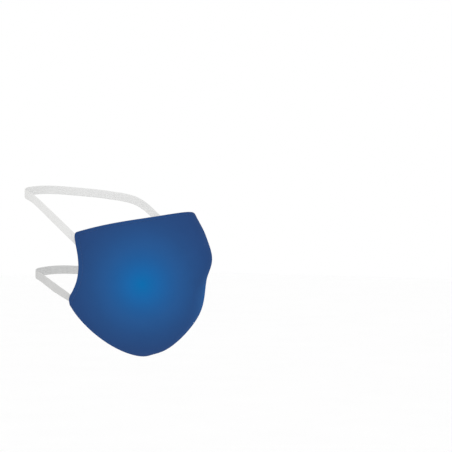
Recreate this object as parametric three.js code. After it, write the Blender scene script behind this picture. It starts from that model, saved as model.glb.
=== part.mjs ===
// Cloth face mask: a printed outer shell over a white lining, held on by two flat elastic straps.
// Millimetres, +Z up. The wearer faces -Y, so +X is the wearer's left and the straps run back along +Y.
// The origin is the nose seat, where the middle of the top edge lies on the bridge of the nose.

import * as THREE from "three";

// Cloth layers
const SHELL_THICKNESS = 1.2;
const LINING_THICKNESS = 1.2;
const LAYER_GAP = 0.3; // between the two layers
const LINING_RIM = 0.8; // how far the lining shows past the edges of the shell
const CORNER_RADIUS = 5; // of the cloth's four corners

// Elastic straps
const STRAP_WIDTH = 8;
const STRAP_THICKNESS = 1.2;
const STRAP_GAP = 0.6; // between the curved lining and the flat strap sewn to it

// Facets
const CLOTH_COLUMNS = 44; // from one rear edge to the other
const CLOTH_ROWS = 26; // from the top edge to the hem
const EDGE_CROWD = 0.45; // how much closer the rows are at those two edges, from 0 for even rows
const STRAP_STEPS = 60;

// The cloth hangs on courses, from the top edge down to the hem. Seen from above, a course is half an
// oval with a ridge over the nose. reach and height place its middle; ridge is the share of the reach
// that belongs to the ridge and spread the ridge's half width; half, back and rear place its two ends;
// round is the oval's power, 2 for an ellipse and less for a more pointed jaw. The rows are the top edge,
// the bridge and tip of the nose, the mouth, chin, jaw and throat, and the hem.
const COURSES = [
  { reach: 2.5, height: 1.5, ridge: 15, spread: 22, half: 68, back: 75, rear: -17.5, round: 1.9 },
  { reach: 16, height: -20, ridge: 18, spread: 25, half: 68.5, back: 72, rear: -29, round: 2 },
  { reach: 26, height: -42, ridge: 25, spread: 25, half: 67.5, back: 70.5, rear: -40, round: 2 },
  { reach: 11.5, height: -67.5, ridge: 11.5, spread: 29, half: 65.5, back: 72, rear: -50.5, round: 1.95 },
  { reach: 3, height: -92.5, ridge: 6, spread: 28, half: 64.5, back: 75.5, rear: -61, round: 1.9 },
  { reach: -11, height: -110, ridge: 4.5, spread: 26, half: 63.5, back: 81.5, rear: -69.5, round: 1.85 },
  { reach: -31.5, height: -124.5, ridge: 2.5, spread: 24, half: 62, back: 87, rear: -75, round: 1.8 },
  { reach: -54, height: -131, ridge: 0, spread: 22, half: 59, back: 91, rear: -82, round: 1.8 },
];

// Each strap is sewn inside the lining at both rear edges and runs round behind the wearer. tail and edge
// say where on the cloth it ends and where it leaves: turn goes from the nose to a rear edge, and drop
// from the top edge to the hem. The route's rows go on from there to the middle of the back.
const STRAPS = [
  {
    name: "upper_strap",
    tail: { turn: 0.92, drop: 0.215 },
    edge: { turn: 0.995, drop: 0.12 },
    route: [
      { side: 66.5, back: 101, height: -5.8 },
      { side: 65, back: 130, height: 11.6 },
      { side: 53, back: 157, height: 17.8 },
      { side: 29.5, back: 176, height: 21 },
      { side: 0, back: 183, height: 22.5 },
    ],
  },
  {
    name: "lower_strap",
    tail: { turn: 0.92, drop: 0.92 },
    edge: { turn: 0.995, drop: 0.95 },
    route: [
      { side: 58, back: 110, height: -68.2 },
      { side: 56, back: 130, height: -59.8 },
      { side: 46, back: 150, height: -56.5 },
      { side: 26, back: 164, height: -55 },
      { side: 0, back: 169, height: -54 },
    ],
  },
];

const UP = new THREE.Vector3(0, 0, 1);
const TURN_STEP = 0.004; // a short way along a course, to find the cloth's slope

const printedCloth = new THREE.MeshStandardMaterial({ color: 0x29508c, roughness: 0.85, metalness: 0 });
const whiteCloth = new THREE.MeshStandardMaterial({ color: 0xe9eaec, roughness: 0.9, metalness: 0 });
const whiteElastic = new THREE.MeshStandardMaterial({ color: 0xdfe0de, roughness: 0.8, metalness: 0 });

// A point of a course. turn runs from -1 at the right rear edge, over 0 at the nose, to 1 at the left.
function coursePoint(course, turn) {
  const { reach, height, ridge, spread, half, back, rear, round } = course;
  const angle = (Math.abs(turn) * Math.PI) / 2;
  const side = Math.sign(turn) * half * Math.sin(angle) ** (2 / round);
  const oval = (reach - ridge + back) * Math.max(Math.cos(angle), 0) ** (2 / round) - back;
  const forward = oval + ridge * Math.exp(-((side / spread) ** 2));
  const fall = (reach - forward) / (reach + back);
  return new THREE.Vector3(side, -forward, THREE.MathUtils.lerp(height, rear, fall));
}

// The line of the cloth's outer face from the top edge to the hem, at one turn.
function clothColumn(turn) {
  return new THREE.CatmullRomCurve3(COURSES.map((course) => coursePoint(course, turn)));
}

// Moves an even place from -1 to 1 outwards, so that rows lie closer along the edges.
function crowd(place) {
  return (1 - EDGE_CROWD) * place + EDGE_CROWD * Math.sin((place * Math.PI) / 2);
}

// How far a rounded corner cuts in from a rear edge, at that distance from the top edge or the hem.
function cornerInset(distance) {
  const rise = Math.max(CORNER_RADIUS - distance, 0);
  return CORNER_RADIUS - Math.sqrt(CORNER_RADIUS ** 2 - rise ** 2);
}

// The outer face as an open sheet with round corners, inset by that distance from the cloth's edges.
function clothSheet(inset) {
  const sheet = new THREE.PlaneGeometry(2, 2, CLOTH_COLUMNS, CLOTH_ROWS);
  const { position } = sheet.attributes;
  const lengthPerTurn = (COURSES[0].back * Math.PI) / 2; // along a course, near its rear ends
  const rearLength = clothColumn(1).getLength();
  for (let i = 0; i < position.count; i++) {
    const share = (1 - crowd(position.getY(i))) / 2;
    const sideInset = inset + cornerInset(Math.min(share, 1 - share) * rearLength);
    const column = clothColumn(position.getX(i) * (1 - sideInset / lengthPerTurn));
    const trim = inset / column.getLength();
    const point = column.getPointAt(trim + share * (1 - 2 * trim));
    position.setXYZ(i, point.x, point.y, point.z);
  }
  sheet.computeVertexNormals();
  return sheet;
}

// The vertices round the border of a sheet, the way its faces turn.
function borderOf(columns, rows) {
  const at = (column, row) => row * (columns + 1) + column;
  const border = [];
  for (let row = 0; row < rows; row++) border.push(at(0, row));
  for (let column = 0; column < columns; column++) border.push(at(column, rows));
  for (let row = rows; row > 0; row--) border.push(at(columns, row));
  for (let column = columns; column > 0; column--) border.push(at(column, 0));
  return border;
}

// A closed wall between two depths below a sheet.
function wallUnder(sheet, outerDepth, innerDepth) {
  const { position, normal } = sheet.attributes;
  const count = position.count;
  const points = [];
  for (const depth of [outerDepth, innerDepth]) {
    for (let i = 0; i < count; i++) {
      const inwards = new THREE.Vector3().fromBufferAttribute(normal, i).multiplyScalar(-depth);
      points.push(new THREE.Vector3().fromBufferAttribute(position, i).add(inwards));
    }
  }
  const faces = Array.from(sheet.index.array);
  const inner = faces.map((vertex) => vertex + count).reverse();
  const border = borderOf(CLOTH_COLUMNS, CLOTH_ROWS);
  const rim = border.flatMap((a, i) => {
    const b = border[(i + 1) % border.length];
    return [b, a, a + count, b, a + count, b + count];
  });
  const wall = new THREE.BufferGeometry().setFromPoints(points);
  wall.setIndex([...faces, ...inner, ...rim]);
  return wall;
}

// A point that deep below the cloth's outer face, and the way the face looks there.
function seatUnderCloth({ turn, drop }, depth) {
  const column = clothColumn(turn);
  const point = column.getPointAt(drop);
  const across = point.clone().sub(clothColumn(turn - TURN_STEP).getPointAt(drop));
  const normal = column.getTangentAt(drop).cross(across).normalize();
  return { point: point.addScaledVector(normal, -depth), normal };
}

// The same station on the wearer's other side.
function mirrored({ point, normal }) {
  const flip = (v) => new THREE.Vector3(-v.x, v.y, v.z);
  return { point: flip(point), normal: normal && flip(normal) };
}

// The middle line of a strap from its left end to its right, and the way its outer face looks.
function strapPath({ tail, edge, route }) {
  const depth = SHELL_THICKNESS + LAYER_GAP + LINING_THICKNESS + STRAP_GAP + STRAP_THICKNESS / 2;
  const left = [tail, edge].map((place) => seatUnderCloth(place, depth));
  left.push(...route.map(({ side, back, height }) => ({ point: new THREE.Vector3(side, back, height) })));
  const stations = [...left, ...left.slice(0, -1).reverse().map(mirrored)];
  const line = new THREE.CatmullRomCurve3(stations.map((station) => station.point));
  const looks = stations.map(({ normal }, i) => {
    const along = line.getTangent(i / (stations.length - 1));
    return normal ?? along.cross(UP).normalize();
  });
  return { line, facing: new THREE.CatmullRomCurve3(looks) };
}

// A flat band bent along a strap's path.
function bandAlong({ line, facing }) {
  const band = new THREE.BoxGeometry(1, STRAP_WIDTH, STRAP_THICKNESS, STRAP_STEPS, 1, 1);
  const { position } = band.attributes;
  for (let i = 0; i < position.count; i++) {
    const t = line.getUtoTmapping(position.getX(i) + 0.5);
    const along = line.getTangent(t);
    const across = facing.getPoint(t).cross(along).normalize();
    const out = along.clone().cross(across);
    const point = line.getPoint(t);
    point.addScaledVector(across, position.getY(i)).addScaledVector(out, position.getZ(i));
    position.setXYZ(i, point.x, point.y, point.z);
  }
  return band;
}

function piece(name, geometry, material) {
  const mesh = new THREE.Mesh(geometry, material);
  mesh.name = name;
  return mesh;
}

const mask = new THREE.Group();
const liningDepth = SHELL_THICKNESS + LAYER_GAP;
mask.add(piece("mask_shell", wallUnder(clothSheet(LINING_RIM), 0, SHELL_THICKNESS), printedCloth));
mask.add(piece("lining", wallUnder(clothSheet(0), liningDepth, liningDepth + LINING_THICKNESS), whiteCloth));
for (const strap of STRAPS) mask.add(piece(strap.name, bandAlong(strapPath(strap)), whiteElastic));

export default mask;
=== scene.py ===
# Cloth face mask: a printed shell over a white lining, held on by an upper and a lower elastic strap.
# Metres, +Z up. The wearer faces -Y, and the origin lies on the bridge of the nose.

import math
from collections import namedtuple
from functools import lru_cache

import bmesh
import bpy
import numpy as np
from mathutils import Matrix, Quaternion, Vector


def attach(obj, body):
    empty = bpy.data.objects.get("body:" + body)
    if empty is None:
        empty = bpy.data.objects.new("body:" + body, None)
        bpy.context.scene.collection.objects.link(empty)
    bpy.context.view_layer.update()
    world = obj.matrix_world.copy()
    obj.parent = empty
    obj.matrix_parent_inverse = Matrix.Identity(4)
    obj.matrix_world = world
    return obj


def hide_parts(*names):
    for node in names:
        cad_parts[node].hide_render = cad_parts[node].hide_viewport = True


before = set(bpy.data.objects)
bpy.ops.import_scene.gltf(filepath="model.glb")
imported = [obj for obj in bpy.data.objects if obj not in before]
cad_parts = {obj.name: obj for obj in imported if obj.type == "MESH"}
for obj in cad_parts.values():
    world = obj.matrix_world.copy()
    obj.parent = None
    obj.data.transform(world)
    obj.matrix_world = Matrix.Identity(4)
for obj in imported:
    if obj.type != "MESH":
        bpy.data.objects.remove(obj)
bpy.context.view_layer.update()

MM = 0.001
BODY = "root"

# Layers of the cloth and the straps, in millimetres
SHELL_THICKNESS = 1.2
LINING_THICKNESS = 1.2
LAYER_GAP = 0.3
LINING_RIM = 0.8
CORNER_RADIUS = 5.0
STRAP_WIDTH = 8.0
STRAP_THICKNESS = 1.2
STRAP_GAP = 0.6
LINING_DEPTH = SHELL_THICKNESS + LAYER_GAP
WALL_DEPTH = LINING_DEPTH + LINING_THICKNESS
STRAP_DEPTH = WALL_DEPTH + STRAP_GAP + STRAP_THICKNESS / 2

# Courses of the cloth from the top edge to the hem, in millimetres: where the middle reaches and how
# high, how much of the reach is nose ridge and how wide that spreads, where the rear ends lie, and the
# power of the oval between them.
Course = namedtuple("Course", "reach height ridge spread half back rear round")
COURSES = [
    Course(2.5, 1.5, 15, 22, 68, 75, -17.5, 1.9),
    Course(16, -20, 18, 25, 68.5, 72, -29, 2),
    Course(26, -42, 25, 25, 67.5, 70.5, -40, 2),
    Course(11.5, -67.5, 11.5, 29, 65.5, 72, -50.5, 1.95),
    Course(3, -92.5, 6, 28, 64.5, 75.5, -61, 1.9),
    Course(-11, -110, 4.5, 26, 63.5, 81.5, -69.5, 1.85),
    Course(-31.5, -124.5, 2.5, 24, 62, 87, -75, 1.8),
    Course(-54, -131, 0, 22, 59, 91, -82, 1.8),
]
# How long one turn is along a course, near its rear ends
TURN_LENGTH = COURSES[0].back * math.pi / 2

# Straps: where on the cloth each ends and leaves, as a turn from the nose to a rear edge and a drop from
# the top edge to the hem, then its way to the middle of the back as side, back and height.
Seat = namedtuple("Seat", "turn drop")
Strap = namedtuple("Strap", "name tail edge route")
UPPER_STRAP = Strap(
    "upper_strap",
    Seat(0.92, 0.215),
    Seat(0.995, 0.12),
    [(66.5, 101, -5.8), (65, 130, 11.6), (53, 157, 17.8), (29.5, 176, 21), (0, 183, 22.5)],
)
LOWER_STRAP = Strap(
    "lower_strap",
    Seat(0.92, 0.92),
    Seat(0.995, 0.95),
    [(58, 110, -68.2), (56, 130, -59.8), (46, 150, -56.5), (26, 164, -55), (0, 169, -54)],
)

# Meshes: the steps of each, how much the cloth's columns and rows crowd towards its edges, and the small
# turn over which its slope is found.
CLOTH_COLUMNS = 104
CLOTH_ROWS = 64
EDGE_CROWD = 0.6
SPAN_STEPS = 16
STRAP_STEPS = 220
STRAP_ACROSS = 28
SEAM_STEPS = 60
TURN_STEP = 0.004

# Ribs of the elastic: how many, how high in millimetres, the power that fades them towards the edges of
# the strap, and the power that makes those edges square.
RIBS = 6
RIB_HEIGHT = 0.07
RIB_FADE = 6
EDGE_SQUARE = 12

# Sewing, in millimetres
TOP_STITCH_INSET = 4.0
REAR_STITCH_INSET = 7.0
STITCH_PITCH = 3.2
STITCH_LENGTH = 2.5
THREAD_WIDTH = 0.5
THREAD_HEIGHT = 0.44
THREAD_PROUD = 0.08

# Zigzag tacks on the strap ends: how far each row is from the end, in millimetres, its stitches, how far
# out it goes as a share of the strap's width, and the slant and length of a stitch.
TACK_ROWS = (2.0, 7.0)
TACK_STITCHES = 9
TACK_REACH = 0.42
TACK_SLANT = 0.9
TACK_LENGTH = 1.3

# Relief of the sewn cloth: lengths are in millimetres and rates in radians to the millimetre. The edge is
# rolled and the seam beside it sunk.
ROLL_HEIGHT = 0.1
ROLL_INSET = 1.7
ROLL_WIDTH = 1.4
SEAM_DEPTH = 0.16
SEAM_WIDTH = 0.9
# Puckers along the seam, whose spacing drifts by so many radians
PUCKER_HEIGHT = 0.07
PUCKER_WIDTH = 4.5
PUCKER_RATE = 0.95
PUCKER_DRIFT = 1.4
PUCKER_DRIFT_RATE = 0.11
# Folds that fan out from where a strap pulls, so many radians of fold to one of the fan
FOLD_HEIGHT = 0.5
FOLD_FAN = 6.5
FOLD_SWING = 0.5
FOLD_START = 9.0
FOLD_FADE = 17.0
# Slack in the cheeks: waves down the cloth that lean towards the rear, and come and go along a course
SLACK_HEIGHT = 0.3
SLACK_RATE = 0.075
SLACK_LEAN = 2.2
SLACK_TURN = 5.0
SLACK_MARGIN = 14.0

UP = np.array([0.0, 0.0, 1.0])


def linear(red, green, blue):
    """A colour given in display values from 0 to 255, as the linear colour that shaders take."""
    shares = [value / 255 for value in (red, green, blue)]
    return [s / 12.92 if s <= 0.04045 else ((s + 0.055) / 1.055) ** 2.4 for s in shares] + [1.0]


# Smooth lines


def smooth_line(points):
    """A dense line through the points, each span a centripetal spline."""
    points = np.asarray(points, float)
    ends = np.vstack([2 * points[0] - points[1], points, 2 * points[-1] - points[-2]])
    knots = np.sqrt(np.linalg.norm(np.diff(ends, axis=0), axis=1))
    t = np.linspace(0, 1, SPAN_STEPS, endpoint=False)[:, None]
    spans = []
    for i in range(len(points) - 1):
        a, b, c, d = ends[i : i + 4]
        before, within, after = knots[i : i + 3]
        leave = ((b - a) / before - (c - a) / (before + within) + (c - b) / within) * within
        arrive = ((c - b) / within - (d - b) / (within + after) + (d - c) / after) * within
        bend = 3 * (c - b) - 2 * leave - arrive
        swing = 2 * (b - c) + leave + arrive
        spans.append(b + leave * t + bend * t**2 + swing * t**3)
    return np.vstack(spans + [points[-1:]])


def lengths_along(line):
    """The length from the line's start to each of its points."""
    return np.concatenate([[0.0], np.cumsum(np.linalg.norm(np.diff(line, axis=0), axis=1))])


def values_at(lengths, run, rows):
    """Rows of three numbers given along a run, read that far along it."""
    return np.stack([np.interp(lengths, run, rows[:, axis]) for axis in range(3)], axis=-1)


def unit(vectors):
    return vectors / np.linalg.norm(vectors, axis=-1, keepdims=True)


# Shape of the cloth


def course_point(course, turn):
    """A point of a course, where turn runs from -1 at the right rear edge to 1 at the left one."""
    angle = abs(turn) * math.pi / 2
    power = 2 / course.round
    side = math.copysign(course.half * math.sin(angle) ** power, turn)
    depth = course.reach - course.ridge + course.back
    oval = depth * max(math.cos(angle), 0.0) ** power - course.back
    forward = oval + course.ridge * math.exp(-((side / course.spread) ** 2))
    fall = (course.reach - forward) / (course.reach + course.back)
    return side, -forward, course.height + (course.rear - course.height) * fall


@lru_cache(maxsize=None)
def cloth_column(turn):
    """The line of the outer face from the top edge to the hem at one turn, and the lengths along it."""
    line = smooth_line([course_point(course, turn) for course in COURSES])
    return line, lengths_along(line)


def column_length(turn):
    return cloth_column(turn)[1][-1]


def corner_inset(distance):
    """How far a rounded corner cuts in from a rear edge, at that distance from the top edge or the hem."""
    rise = max(CORNER_RADIUS - distance, 0.0)
    return CORNER_RADIUS - math.sqrt(CORNER_RADIUS**2 - rise**2)


def bell(distance, width):
    return math.exp(-((distance / width) ** 2))


def sewn_relief(turn, drop):
    """How far the cloth stands proud of its plain form: the rolled edge and sunk seam, puckers along it,
    the folds where the straps pull, and slack in the cheeks."""
    away = abs(turn)
    length = column_length(turn)
    top = drop * length
    nearest = min(top, length - top)
    rear = (1 - away) * TURN_LENGTH
    edge = min(nearest, rear - REAR_STITCH_INSET + TOP_STITCH_INSET)
    from_seam = edge - TOP_STITCH_INSET
    relief = ROLL_HEIGHT * bell(edge - ROLL_INSET, ROLL_WIDTH) - SEAM_DEPTH * bell(from_seam, SEAM_WIDTH)
    run = top if rear < nearest else away * TURN_LENGTH
    drift = PUCKER_DRIFT * math.sin(run * PUCKER_DRIFT_RATE)
    relief += PUCKER_HEIGHT * math.sin(run * PUCKER_RATE + drift) * bell(from_seam, PUCKER_WIDTH)
    for strap in (UPPER_STRAP, LOWER_STRAP):
        sink = (drop - strap.edge.drop) * length
        reach = math.hypot(rear, sink)
        fan = math.cos(FOLD_FAN * math.atan2(sink, rear) + FOLD_SWING)
        relief += FOLD_HEIGHT * fan * (1 - bell(reach, FOLD_START)) * math.exp(-reach / FOLD_FADE)
    slack = SLACK_HEIGHT * math.sin(top * SLACK_RATE + SLACK_LEAN * away) * math.sin(away * SLACK_TURN) ** 2
    return relief + slack * (1 - bell(edge, SLACK_MARGIN))


def crowd(place):
    """Moves an even place from -1 to 1 outwards, so that the mesh is finer along the cloth's edges."""
    return (1 - EDGE_CROWD) * place + EDGE_CROWD * np.sin(place * math.pi / 2)


def make_object(name, bm, finish):
    """A smooth-shaded object from a finished bmesh."""
    mesh = bpy.data.meshes.new(name)
    for face in bm.faces:
        face.smooth = True
    bm.to_mesh(mesh)
    bm.free()
    piece = bpy.data.objects.new(name, mesh)
    bpy.context.collection.objects.link(piece)
    mesh.materials.append(finish.material)
    return piece


def cloth_sheet(inset):
    """Rows of points on the outer face, that far inside its edges, and how proud the cloth stands there."""
    turns = crowd(np.linspace(-1, 1, CLOTH_COLUMNS + 1))
    shares = 0.5 + crowd(np.linspace(-1, 1, CLOTH_ROWS + 1)) / 2
    points = np.empty((len(shares), len(turns), 3))
    relief = np.empty((len(shares), len(turns)))
    rear_length = column_length(1.0)
    for row, share in enumerate(shares):
        side_inset = inset + corner_inset(min(share, 1 - share) * rear_length)
        for column, turn in enumerate(turns * (1 - side_inset / TURN_LENGTH)):
            line, run = cloth_column(turn)
            length = inset + share * (run[-1] - 2 * inset)
            points[row, column] = values_at(length, run, line)
            relief[row, column] = sewn_relief(turn, length / run[-1])
    return points, relief


def lengths_over(points, axis):
    """The length along each column (axis 0) or row (axis 1) of a sheet, from the middle of it."""
    steps = np.linalg.norm(np.diff(points, axis=axis), axis=2)
    start = np.zeros_like(steps.take([0], axis))
    lengths = np.concatenate([start, np.cumsum(steps, axis=axis)], axis=axis)
    return lengths - lengths.take([lengths.shape[axis] // 2], axis)


def map_weave(bm, verts, points):
    """A UV map in metres along the cloth, so that its knit follows the surface."""
    across = lengths_over(points, 1).ravel()
    down = lengths_over(points, 0).ravel()
    places = {vert: Vector((u, -v)) * MM for vert, u, v in zip(verts, across, down)}
    weave = bm.loops.layers.uv.new("weave")
    for face in bm.faces:
        for loop in face.loops:
            loop[weave].uv = places[loop.vert]


def hang_cloth(name, inset, depth, thickness, finish):
    """One layer of the cloth, that far inside its edges and that deep below the outer face."""
    bm = bmesh.new()
    bmesh.ops.create_grid(bm, x_segments=CLOTH_COLUMNS, y_segments=CLOTH_ROWS, size=1)
    verts = sorted(bm.verts, key=lambda vert: (-round(vert.co.y, 5), round(vert.co.x, 5)))
    points, relief = cloth_sheet(inset)
    for vert, point in zip(verts, points.reshape(-1, 3)):
        vert.co = Vector(point) * MM
    bm.normal_update()
    for vert, proud in zip(verts, relief.ravel()):
        vert.co += vert.normal * (proud - depth) * MM
    map_weave(bm, verts, points)
    piece = make_object(name, bm, finish)
    wall = piece.modifiers.new("wall", "SOLIDIFY")
    wall.thickness = thickness * MM
    wall.offset = -1
    wall.use_even_offset = True
    rounding = piece.modifiers.new("rounding", "SUBSURF")
    rounding.levels = 1
    rounding.render_levels = 1
    return piece


# Straps


def seat_under_cloth(seat, depth):
    """A point that deep below the cloth's outer face, and the way the face looks there."""
    line, run = cloth_column(seat.turn)
    drops = seat.drop + np.array([-TURN_STEP, 0, TURN_STEP])
    above, point, below = values_at(drops * run[-1], run, line)
    inner_line, inner_run = cloth_column(seat.turn - TURN_STEP)
    inner = values_at(seat.drop * inner_run[-1], inner_run, inner_line)
    look = unit(np.cross(below - above, point - inner))
    return point - look * depth, look


def strap_path(strap):
    """The strap's middle line from its left end to its right, with the directions along and out of it."""
    flip = np.array([-1.0, 1.0, 1.0])
    sewn = [seat_under_cloth(seat, STRAP_DEPTH) for seat in (strap.tail, strap.edge)]
    left = [point for point, look in sewn] + [np.array(row, float) for row in strap.route]
    line = smooth_line(left + [point * flip for point in left[-2::-1]])
    along = unit(np.gradient(line, axis=0))
    looks = unit(np.cross(along[::SPAN_STEPS], UP))
    for i, (_, look) in enumerate(sewn):
        looks[i] = look
        looks[-1 - i] = look * flip
    facing = values_at(np.arange(len(line)) / SPAN_STEPS, np.arange(len(looks)), looks)
    across = unit(np.cross(facing, along))
    return line, along, across, np.cross(along, across)


def strap_section(place):
    """Across and out from the middle line, where place runs once round the strap from -1 to 1."""
    share = 2 * abs(place) - 1
    bulge = (1 - abs(share) ** EDGE_SQUARE) ** 0.5
    rib = RIB_HEIGHT * math.cos(share * RIBS * math.pi) * (1 - abs(share) ** RIB_FADE)
    out = math.copysign(bulge * (STRAP_THICKNESS / 2 - RIB_HEIGHT) + rib, place)
    return share * STRAP_WIDTH / 2, out if 0 < abs(place) < 1 else 0.0


def stretch_strap(strap, finish):
    """A ribbed flat elastic along a strap's path, closed at both ends."""
    line, _, across, out = strap_path(strap)
    run = lengths_along(line)
    lengths = np.linspace(0, run[-1], STRAP_STEPS + 1)
    middle = values_at(lengths, run, line)
    sideways = unit(values_at(lengths, run, across))
    outwards = unit(values_at(lengths, run, out))
    bm = bmesh.new()
    bmesh.ops.create_grid(bm, x_segments=STRAP_STEPS, y_segments=2 * STRAP_ACROSS, size=1)
    rib_map = bm.loops.layers.uv.new("ribs")
    for face in bm.faces:
        for loop in face.loops:
            x, y, _ = loop.vert.co
            loop[rib_map].uv = Vector(((x + 1) / 2 * run[-1], (2 * abs(y) - 1) * STRAP_WIDTH / 2)) * MM
    for vert in bm.verts:
        step = round((vert.co.x + 1) / 2 * STRAP_STEPS)
        aside, proud = strap_section(round(vert.co.y, 5))
        vert.co = Vector(middle[step] + sideways[step] * aside + outwards[step] * proud) * MM
    bmesh.ops.remove_doubles(bm, verts=bm.verts[:], dist=0.01 * MM)
    bmesh.ops.holes_fill(bm, edges=[edge for edge in bm.edges if edge.is_boundary], sides=0)
    bmesh.ops.recalc_face_normals(bm, faces=bm.faces[:])
    return make_object(f"{strap.name}_elastic", bm, finish)


# Sewing


def seam_line():
    """The places of the edge seam once round the cloth: top edge, left rear, hem and right rear."""
    side = 1 - REAR_STITCH_INSET / TURN_LENGTH
    turns = np.linspace(-side, side, SEAM_STEPS)
    top = [Seat(turn, TOP_STITCH_INSET / column_length(turn)) for turn in turns]
    hem = [Seat(turn, 1 - TOP_STITCH_INSET / column_length(turn)) for turn in turns[::-1]]
    left = [Seat(side, drop) for drop in np.linspace(top[-1].drop, hem[0].drop, SEAM_STEPS // 3)[1:-1]]
    right = [Seat(-side, drop) for drop in np.linspace(hem[-1].drop, top[0].drop, SEAM_STEPS // 3)[1:-1]]
    return top + left + hem + right + top[:1]


def sew(name, depth, inside, finish):
    """A row of single stitches along the edge seam, lying on one face of the cloth."""
    places = seam_line()
    seats = [seat_under_cloth(place, depth - sewn_relief(*place)) for place in places]
    line = np.array([point for point, look in seats])
    looks = np.array([look for point, look in seats]) * (-1 if inside else 1)
    run = lengths_along(line)
    count = round(run[-1] / STITCH_PITCH)
    bm = bmesh.new()
    for i in range(count):
        here = (i + 0.5) * run[-1] / count
        reach = np.array([-STITCH_LENGTH, 0, STITCH_LENGTH]) / 2
        start, middle, end = values_at(here + reach, run, line)
        along = unit(end - start)
        look = unit(values_at(here, run, looks))
        aside = unit(np.cross(look, along))
        lie_stitch(bm, middle, along, aside, np.cross(along, aside), STITCH_LENGTH)
    return make_object(name, bm, finish)


def lie_stitch(bm, middle, along, aside, out, length):
    """One stitch of thread, lying a little proud of what it holds."""
    turn = Matrix.Identity(4)
    for column, direction, size in ((0, along, length), (1, aside, THREAD_WIDTH), (2, out, THREAD_HEIGHT)):
        turn.col[column][:3] = Vector(direction) * size / 2 * MM
    turn.col[3][:3] = Vector(middle + out * THREAD_PROUD) * MM
    bmesh.ops.create_uvsphere(bm, u_segments=8, v_segments=6, radius=1, matrix=turn)


def tack_straps(name, finish):
    """Zigzag tacks across the sewn ends of the straps, on the face towards the wearer."""
    bm = bmesh.new()
    for strap in (UPPER_STRAP, LOWER_STRAP):
        line, along, across, out = strap_path(strap)
        run = lengths_along(line)
        for from_end in TACK_ROWS:
            for here in (from_end, run[-1] - from_end):
                i = int(np.searchsorted(run, here))
                inwards = -out[i]
                for stitch, share in enumerate(np.linspace(-TACK_REACH, TACK_REACH, TACK_STITCHES)):
                    slant = TACK_SLANT if stitch % 2 else -TACK_SLANT
                    way = unit(across[i] + along[i] * slant)
                    middle = line[i] + across[i] * share * STRAP_WIDTH + inwards * STRAP_THICKNESS / 2
                    lie_stitch(bm, middle, way, unit(np.cross(inwards, way)), inwards, TACK_LENGTH)
    return make_object(name, bm, finish)


# Finishes


class Value:
    """A socket of a finish's nodes, with the arithmetic of Math nodes."""

    def __init__(self, finish, socket):
        self.finish = finish
        self.socket = socket

    def math(self, operation, *others):
        sockets = dict(enumerate((self, *others)))
        return self.finish.node("ShaderNodeMath", {"operation": operation}, sockets)

    def __add__(self, other):
        return self.math("ADD", other)

    __radd__ = __add__

    def __mul__(self, other):
        return self.math("MULTIPLY", other)

    __rmul__ = __mul__

    def __sub__(self, other):
        return self.math("SUBTRACT", other)

    def __rsub__(self, other):
        return (self * -1) + other

    def __truediv__(self, other):
        return self.math("DIVIDE", other)

    def __pow__(self, other):
        return self.math("POWER", other)

    def __abs__(self):
        return self.math("ABSOLUTE")

    def sine(self):
        return self.math("SINE")


class Finish:
    """A material on one Principled shader. Values that are the same all over are given at the start."""

    def __init__(self, name, **constants):
        self.material = bpy.data.materials.new(name)
        self.material.use_nodes = True
        self.tree = self.material.node_tree
        self.shader = self.tree.nodes["Principled BSDF"]
        for socket, value in constants.items():
            self.shader.inputs[socket.replace("_", " ")].default_value = value

    def plug(self, socket, value):
        if isinstance(value, Value):
            self.tree.links.new(value.socket, socket)
        else:
            socket.default_value = value

    def node(self, kind, settings, sockets, output=0):
        """A node with its settings made first, then the values or links of its sockets."""
        node = self.tree.nodes.new(kind)
        for key, value in settings.items():
            if key == "stops":
                elements = node.color_ramp.elements
                while len(elements) < len(value):
                    elements.new(1.0)
                for element, (place, colour) in zip(elements, value):
                    element.position = place
                    element.color = colour
            else:
                setattr(node, key, value)
        for key, value in sockets.items():
            self.plug(node.inputs[key], value)
        return Value(self, node.outputs[output])

    def feed(self, name, value):
        self.plug(self.shader.inputs[name], value)

    def place(self):
        """Where a point is on the object, in metres."""
        return self.node("ShaderNodeTexCoord", {}, {}, "Object")

    def mapped(self, name):
        """Where a point is on a UV map, in metres along the cloth or strap."""
        return self.node("ShaderNodeUVMap", {"uv_map": name}, {})

    def numbers(self, place):
        """The three numbers of a place."""
        first = self.node("ShaderNodeSeparateXYZ", {}, {0: place})
        return [Value(self, socket) for socket in first.socket.node.outputs]

    def cloud(self, scale, detail=2.0):
        """Soft noise from 0 to 1, with that many blots to the metre."""
        sockets = {"Vector": self.place(), "Scale": scale, "Detail": detail}
        return self.node("ShaderNodeTexNoise", {}, sockets)

    def shade(self, height, darkest, relief, mottle, blots):
        """A value round 1: painted shade of the relief, darkest in the hollows and lighter on what is
        raised, and mottled by soft blots.
        """
        return darkest + relief * height + mottle * self.cloud(blots)

    def tint(self, colour, shade):
        """A colour made lighter or darker by a value round 1."""
        grey = self.node("ShaderNodeCombineColor", {}, {0: shade, 1: shade, 2: shade})
        settings = {"data_type": "RGBA", "blend_type": "MULTIPLY"}
        return self.node("ShaderNodeMix", settings, {0: 1.0, 6: colour, 7: grey}, 2)

    def raise_surface(self, height, depth, strength):
        """Bump by a height from 0 to 1 that stands for that depth in metres."""
        sockets = {"Strength": strength, "Distance": depth, "Height": height}
        self.feed("Normal", self.node("ShaderNodeBump", {}, sockets))


def knit(finish, wale, course):
    """Height of a fine knit: columns of small V-shaped loops, of that width and length in metres."""
    u, v, _ = finish.numbers(finish.mapped("weave"))
    column = (u / wale).math("PINGPONG", 0.5)
    ridge = (column * (2 * math.pi)).sine()
    loop = ((v / course + column) * (2 * math.pi)).sine()
    return ridge * 0.5 + loop * 0.25 + 0.25


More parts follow.
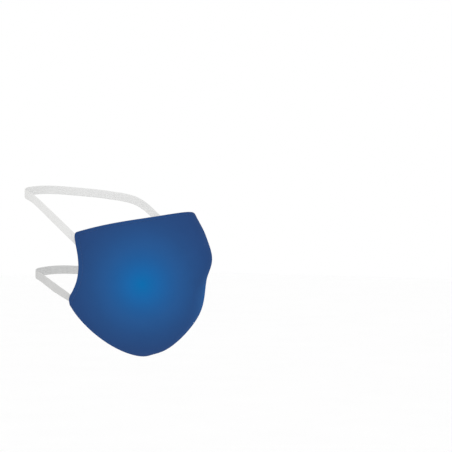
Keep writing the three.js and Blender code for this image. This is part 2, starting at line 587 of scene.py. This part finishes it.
# The print is a soft round light on each cheek that deepens towards the edges. Its axis goes straight
# into the cheek, at 45 degrees to the nose; places and radii are in metres.
CHEEK_ACROSS = 0.0562
CHEEK_HEIGHT = -0.063
PRINT_RADIUS = 0.072
PRINT_STOPS = [
    (0.0, linear(13, 104, 167)),
    (0.18, linear(27, 96, 159)),
    (0.34, linear(34, 88, 147)),
    (0.46, linear(38, 84, 140)),
    (0.66, linear(39, 76, 128)),
    (0.82, linear(39, 71, 121)),
    (1.0, linear(39, 68, 117)),
]


def printed_cloth():
    finish = Finish("printed cloth", Sheen_Weight=0.01, Sheen_Roughness=0.5, Specular_IOR_Level=0.01)
    x, y, z = finish.numbers(finish.place())
    across = (abs(x) + y - CHEEK_ACROSS) * math.sqrt(0.5)
    height = z - CHEEK_HEIGHT
    radius = (across * across + height * height) ** 0.5
    ramp = finish.node("ShaderNodeValToRGB", {"stops": PRINT_STOPS}, {0: radius / PRINT_RADIUS})
    loops = knit(finish, wale=0.0013, course=0.0010)
    shade = finish.shade(loops, darkest=0.89, relief=0.09, mottle=0.06, blots=60.0)
    finish.feed("Base Color", finish.tint(ramp, shade))
    finish.feed("Roughness", 0.92 - 0.1 * loops)
    finish.raise_surface(loops, depth=0.00018, strength=0.6)
    return finish


def white_cloth():
    finish = Finish("white cloth", Sheen_Weight=0.05, Sheen_Roughness=0.5, Specular_IOR_Level=0.15)
    loops = knit(finish, wale=0.0016, course=0.0012)
    shade = finish.shade(loops, darkest=0.915, relief=0.06, mottle=0.05, blots=45.0)
    finish.feed("Base Color", finish.tint(linear(236, 238, 241), shade))
    finish.feed("Roughness", 0.95 - 0.1 * loops)
    finish.raise_surface(loops, depth=0.0002, strength=0.5)
    return finish


# Elastic: its rows of thread and its ribs, in metres, the heights between which a painted shade darkens it
# towards the bottom, and how deep that painted shade goes
ELASTIC_ROW = 0.0009
RIB_WIDTH = STRAP_WIDTH * MM / RIBS
PAINTED_SHADE_FROM = -0.02
PAINTED_SHADE_FULL = -0.05
PAINTED_SHADE_DEPTH = 0.2


def white_elastic():
    """Ribbed elastic, with a painted shade that darkens the lower strap."""
    finish = Finish("white elastic", Sheen_Weight=0.05, Sheen_Roughness=0.4, Specular_IOR_Level=0.2)
    u, v, _ = finish.numbers(finish.mapped("ribs"))
    ribs = (v * (2 * math.pi / RIB_WIDTH)).math("COSINE")
    lean = (v / RIB_WIDTH).math("PINGPONG", 0.5)
    rows = ((u / ELASTIC_ROW + lean) * (2 * math.pi)).sine()
    height = 0.5 + 0.25 * ribs + 0.25 * rows
    _, _, z = finish.numbers(finish.place())
    # Painted shade: below a height the elastic is darkened, so that the lower strap looks shaded
    low = ((PAINTED_SHADE_FROM - z) / (PAINTED_SHADE_FROM - PAINTED_SHADE_FULL)).math("MAXIMUM", 0.0).math("MINIMUM", 1.0)
    shade = finish.shade(height, darkest=0.91, relief=0.07, mottle=0.04, blots=80.0) - PAINTED_SHADE_DEPTH * low
    finish.feed("Base Color", finish.tint(linear(223, 223, 222), shade))
    finish.feed("Roughness", 0.85 - 0.15 * height)
    finish.raise_surface(height, depth=0.00015, strength=0.6)
    return finish


def sewing_thread(name, colour):
    finish = Finish(name, Sheen_Weight=0.1, Sheen_Roughness=0.4, Specular_IOR_Level=0.25)
    fibres = finish.cloud(scale=2600.0, detail=1.0)
    finish.feed("Base Color", finish.tint(colour, 0.85 + 0.3 * fibres))
    finish.feed("Roughness", 0.75 - 0.2 * fibres)
    finish.raise_surface(fibres, depth=0.00006, strength=0.5)
    return finish


# The mask

cloth_print = printed_cloth()
cloth_white = white_cloth()
elastic = white_elastic()
blue_thread = sewing_thread("blue thread", linear(38, 70, 120))
white_thread = sewing_thread("white thread", linear(228, 229, 230))

shell = hang_cloth("mask_shell_cloth", LINING_RIM, 0.0, SHELL_THICKNESS, cloth_print)
lining = hang_cloth("lining_cloth", 0.0, LINING_DEPTH, LINING_THICKNESS, cloth_white)
upper_elastic = stretch_strap(UPPER_STRAP, elastic)
lower_elastic = stretch_strap(LOWER_STRAP, elastic)
outer_seam = sew("edge_seam_outside", depth=0.0, inside=False, finish=blue_thread)
inner_seam = sew("edge_seam_inside", depth=WALL_DEPTH, inside=True, finish=white_thread)
tacks = tack_straps("strap_tacks", white_thread)

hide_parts("mask_shell")
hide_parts("lining")
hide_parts("upper_strap")
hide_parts("lower_strap")
for piece, slot in (
    (shell, "printed_cloth"),
    (outer_seam, "printed_cloth"),
    (lining, "white_cloth"),
    (inner_seam, "white_cloth"),
    (upper_elastic, "white_elastic"),
    (lower_elastic, "white_elastic"),
    (tacks, "white_elastic"),
):
    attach(piece, BODY)

# Studio: a pale floor, even white light from all round, a soft key and a faint fill

MASK_MIDDLE = Vector((0, 0.040, -0.060))
FLOOR_HEIGHT = -0.9
FLOOR_REACH = 20.0


def pale_floor():
    finish = Finish("pale floor", Roughness=0.9, Specular_IOR_Level=0.1)
    finish.feed("Base Color", finish.tint((1, 1, 1, 1), 0.98 + 0.02 * finish.cloud(scale=3.0)))
    bm = bmesh.new()
    spot = Matrix.Translation((0, 0, FLOOR_HEIGHT))
    bmesh.ops.create_grid(bm, x_segments=1, y_segments=1, size=FLOOR_REACH, matrix=spot)
    return make_object("floor", bm, finish)


def soft_light(name, place, size, power):
    light = bpy.data.lights.new(name, "AREA")
    light.size = size
    light.energy = power
    lamp = bpy.data.objects.new(name, light)
    lamp.location = place
    lamp.rotation_euler = (MASK_MIDDLE - lamp.location).to_track_quat("-Z", "Y").to_euler()
    bpy.context.collection.objects.link(lamp)


pale_floor()
soft_light("key", place=(-1.3, -1.1, 0.9), size=1.2, power=7.0)
soft_light("fill", place=(1.2, -1.4, 0.5), size=1.4, power=1.2)

world = bpy.data.worlds.new("studio")
world.use_nodes = True
background = world.node_tree.nodes["Background"]
background.inputs["Color"].default_value = (1, 1, 1, 1)
background.inputs["Strength"].default_value = 1.0
bpy.context.scene.world = world
bpy.context.scene.view_settings.view_transform = "Standard"

# Camera: the mask is seen half from the wearer's right and a little from above. Its middle lies on one
# pixel of the image, left of and below the centre, and a pixel there is that many metres wide.

VIEW_AZIMUTH = math.radians(-45)
VIEW_ELEVATION = math.radians(2)
VIEW_DISTANCE = 1.5
SENSOR_WIDTH = 36
IMAGE_SIZE = 452
PIXEL = 0.000905
MIDDLE_PIXEL = (155.0, 279.0)

camera_data = bpy.data.cameras.new("camera")
camera_data.sensor_width = SENSOR_WIDTH
camera_data.lens = SENSOR_WIDTH * VIEW_DISTANCE / (IMAGE_SIZE * PIXEL)
camera = bpy.data.objects.new("camera", camera_data)
aside = math.sin(VIEW_AZIMUTH) * math.cos(VIEW_ELEVATION)
forward = math.cos(VIEW_AZIMUTH) * math.cos(VIEW_ELEVATION)
towards_camera = Vector((aside, -forward, math.sin(VIEW_ELEVATION)))
camera.location = MASK_MIDDLE + towards_camera * VIEW_DISTANCE
turn_right = math.atan((IMAGE_SIZE / 2 - MIDDLE_PIXEL[0]) * PIXEL / VIEW_DISTANCE)
tip_up = math.atan((MIDDLE_PIXEL[1] - IMAGE_SIZE / 2) * PIXEL / VIEW_DISTANCE)
level = (-towards_camera).to_track_quat("-Z", "Y")
camera.rotation_mode = "QUATERNION"
camera.rotation_quaternion = Quaternion((0, 0, 1), -turn_right) @ level @ Quaternion((1, 0, 0), tip_up)
bpy.context.collection.objects.link(camera)
bpy.context.scene.camera = camera
